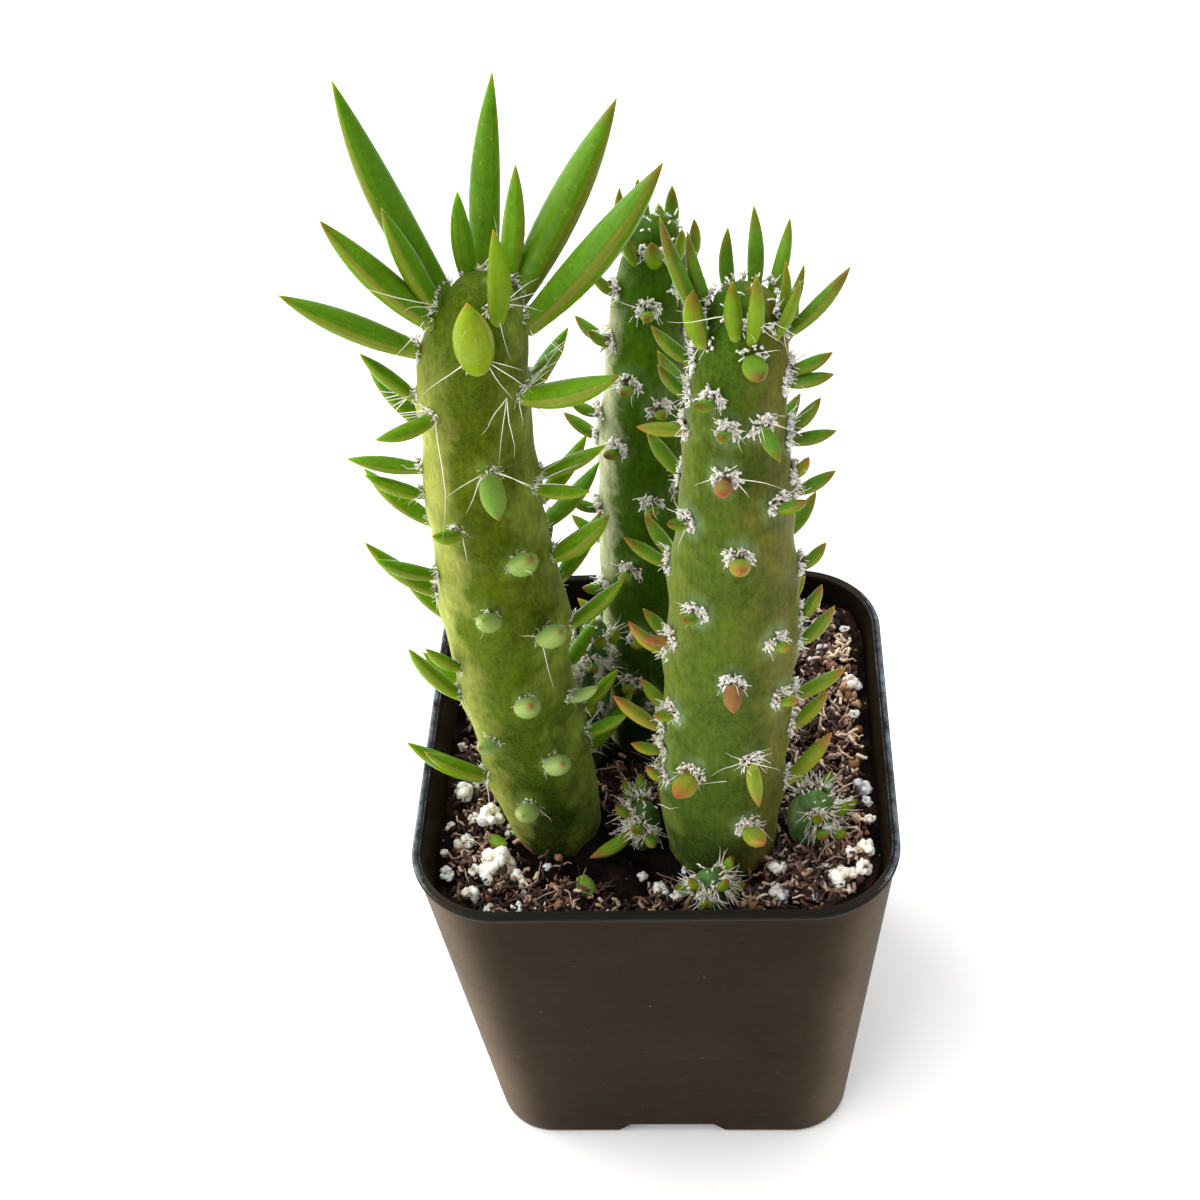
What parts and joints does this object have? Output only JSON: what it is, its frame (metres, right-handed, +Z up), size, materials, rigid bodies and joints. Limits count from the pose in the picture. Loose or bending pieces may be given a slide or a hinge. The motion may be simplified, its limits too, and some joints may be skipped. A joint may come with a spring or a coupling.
{
  "type": "potted eves needle cactus",
  "caption": "Upright cactus with awl-shaped leaves, woolly areoles and young shoots, growing in a square nursery pot of gritty soil.",
  "frame": {"origin": "centre of the pot's foot, on the surface it stands on", "axes": "+Z up along the pot's height, -Y towards the front side of the pot, +X to the right seen from the front"},
  "size_m": [0.0602, 0.057, 0.1451],
  "materials": {
    "pot": "thin moulded plastic, dark brown-black, satin with fine scuffs",
    "soil": "moist potting mix of coir fibre and bark, matte",
    "stem_left": "living cactus skin, yellow-green, satin with a waxy bloom",
    "stem_right": "living cactus skin, mid green with blue-green bloom, satin",
    "stem_back": "living cactus skin, mid green, satin",
    "shoot_back": "living cactus skin, mid green under pale wool, satin",
    "shoot_middle": "living cactus skin, yellow-olive under pale wool, satin",
    "shoot_front": "living cactus skin, grey-green under pale wool, satin",
    "shoot_right": "living cactus skin, dark green with bloom, satin",
    "perlite": "crumbly foamed rock, cream white, matte",
    "dropped_leaf": "fallen succulent leaf, yellow-green, satin",
    "wool": "cottony areole wool, cream white, matte",
    "spine": "thin dry spines, white to straw, satin",
    "fibre": "dry coir fibre and bark, tan to brown, matte"
  },
  "bodies": {
    "root": {"pot": "pot", "soil": "soil", "stem_left": "stem_left", "stem_right": "stem_right", "stem_back": "stem_back", "shoot_back": "shoot_back", "shoot_middle": "shoot_middle", "shoot_front": "shoot_front", "shoot_right": "shoot_right", "perlite_01": "perlite", "perlite_02": "perlite", "perlite_03": "perlite", "perlite_04": "perlite", "perlite_05": "perlite", "perlite_06": "perlite", "perlite_07": "perlite", "perlite_08": "perlite", "perlite_09": "perlite", "perlite_10": "perlite", "perlite_11": "perlite", "perlite_12": "perlite", "perlite_13": "perlite", "perlite_14": "perlite", "perlite_15": "perlite", "perlite_16": "perlite", "perlite_17": "perlite", "perlite_18": "perlite", "perlite_19": "perlite", "perlite_20": "perlite", "dropped_leaf_left": "dropped_leaf", "dropped_leaf_front": "dropped_leaf"}
  },
  "joints": []
}
